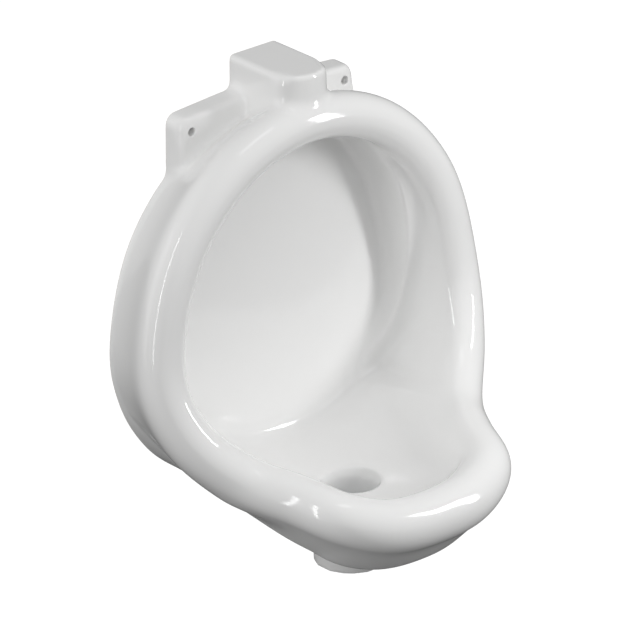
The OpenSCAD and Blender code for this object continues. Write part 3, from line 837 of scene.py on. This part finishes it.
# Lamps by their direction from the bowl: degrees to the right of straight out from the
# wall, and degrees up
lampSetup = {
    "key": {"side": 40, "up": 17, "away": 1.1, "size": (0.11, 0.55), "power": 5.4},
    "strip": {"side": -82, "up": 15, "away": 1.8, "size": (0.12, 1.5), "power": 4.5},
    "rear": {"side": -128, "up": 8, "away": 1.8, "size": (0.8, 1.4), "power": 2.4},
    "over": {"side": 0, "up": 72, "away": 1.7, "size": (0.62, 0.3), "power": 1.1},
}
lampTarget = (0.0, -0.1, -0.17)


def addLamps():
    for name, lamp in lampSetup.items():
        data = bpy.data.lights.new(name, "AREA")
        data.shape = "RECTANGLE"
        data.size, data.size_y = lamp["size"]
        data.energy = lamp["power"]
        side, up = math.radians(lamp["side"]), math.radians(lamp["up"])
        reach = Vector((math.cos(up) * math.sin(side), -math.cos(up) * math.cos(side),
                        math.sin(up)))
        ob = addObject(name + "Lamp", data)
        ob.location = Vector(lampTarget) + reach * lamp["away"]
        aim(ob, lampTarget)


# Light from all round by direction, and the floor, which the camera sees nearly white
surroundings = {"above": 0.60, "below": 0.24, "leftShare": 0.50, "frontShare": 0.16,
                "floorHeight": -0.62, "floorSize": 6.0, "floorColour": 0.13,
                "floorRoughness": 0.9, "floorGlow": 1.3, "shadowShare": 0.2,
                "fadeFrom": -0.6, "fadeTo": 0.6}


def addFloor():
    g = surroundings
    h = g["floorSize"] / 2
    floor = meshFromPoints("floor", [(-h, -h, g["floorHeight"]), (h, -h, g["floorHeight"]),
                                     (h, h, g["floorHeight"]), (-h, h, g["floorHeight"])],
                           [(0, 1, 2, 3)])
    material, nodes, links, shader = newMaterial("paleFloor")
    tone = g["floorColour"]
    shader.inputs["Base Color"].default_value = (tone, tone, tone, 1)
    shader.inputs["Roughness"].default_value = g["floorRoughness"]
    glow = nodes.new("ShaderNodeEmission")
    glow.inputs["Strength"].default_value = g["floorGlow"]
    rays = nodes.new("ShaderNodeLightPath")
    either = nodes.new("ShaderNodeMath")
    either.operation = "MULTIPLY"
    either.inputs[1].default_value = 1 - g["shadowShare"]
    mix = nodes.new("ShaderNodeMixShader")
    output = next(n for n in nodes if n.bl_idname == "ShaderNodeOutputMaterial")
    links.new(rays.outputs["Is Camera Ray"], either.inputs[0])
    links.new(either.outputs[0], mix.inputs["Fac"])
    links.new(shader.outputs["BSDF"], mix.inputs[1])
    links.new(glow.outputs["Emission"], mix.inputs[2])
    links.new(mix.outputs["Shader"], output.inputs["Surface"])
    floor.data.materials.append(material)


def addWorld():
    world = bpy.data.worlds.new("studio")
    bpy.context.scene.world = world
    world.use_nodes = True
    nodes, links = world.node_tree.nodes, world.node_tree.links
    nodes.clear()
    output = nodes.new("ShaderNodeOutputWorld")
    seen, lit = nodes.new("ShaderNodeBackground"), nodes.new("ShaderNodeBackground")
    seen.inputs["Strength"].default_value = 1.0
    for node in (seen, lit):
        node.inputs["Color"].default_value = (1, 1, 1, 1)
    place = nodes.new("ShaderNodeTexCoord")
    split = nodes.new("ShaderNodeSeparateXYZ")
    links.new(place.outputs["Generated"], split.inputs["Vector"])
    level = nodes.new("ShaderNodeMapRange")  # lighter above, darker below
    level.interpolation_type = "SMOOTHSTEP"
    level.inputs["From Min"].default_value = surroundings["fadeFrom"]
    level.inputs["From Max"].default_value = surroundings["fadeTo"]
    level.inputs["To Min"].default_value = surroundings["below"]
    level.inputs["To Max"].default_value = surroundings["above"]
    links.new(split.outputs["Z"], level.inputs["Value"])
    sideways = nodes.new("ShaderNodeVectorMath")  # and lighter on the left and in front
    sideways.operation = "DOT_PRODUCT"
    sideways.inputs[1].default_value = (-surroundings["leftShare"],
                                        -surroundings["frontShare"], 0)
    links.new(place.outputs["Generated"], sideways.inputs[0])
    more = nodes.new("ShaderNodeMath")
    more.inputs[1].default_value = 1.0
    links.new(sideways.outputs["Value"], more.inputs[0])
    both = nodes.new("ShaderNodeMath")
    both.operation = "MULTIPLY"
    links.new(level.outputs["Result"], both.inputs[0])
    links.new(more.outputs[0], both.inputs[1])
    links.new(both.outputs[0], lit.inputs["Strength"])
    rays = nodes.new("ShaderNodeLightPath")
    mix = nodes.new("ShaderNodeMixShader")
    links.new(rays.outputs["Is Camera Ray"], mix.inputs["Fac"])
    links.new(lit.outputs["Background"], mix.inputs[1])
    links.new(seen.outputs["Background"], mix.inputs[2])
    links.new(mix.outputs["Shader"], output.inputs["Surface"])


addCamera()
addLamps()
addFloor()
addWorld()
bpy.context.scene.view_settings.view_transform = "Standard"
print("camera, lamps and floor placed")
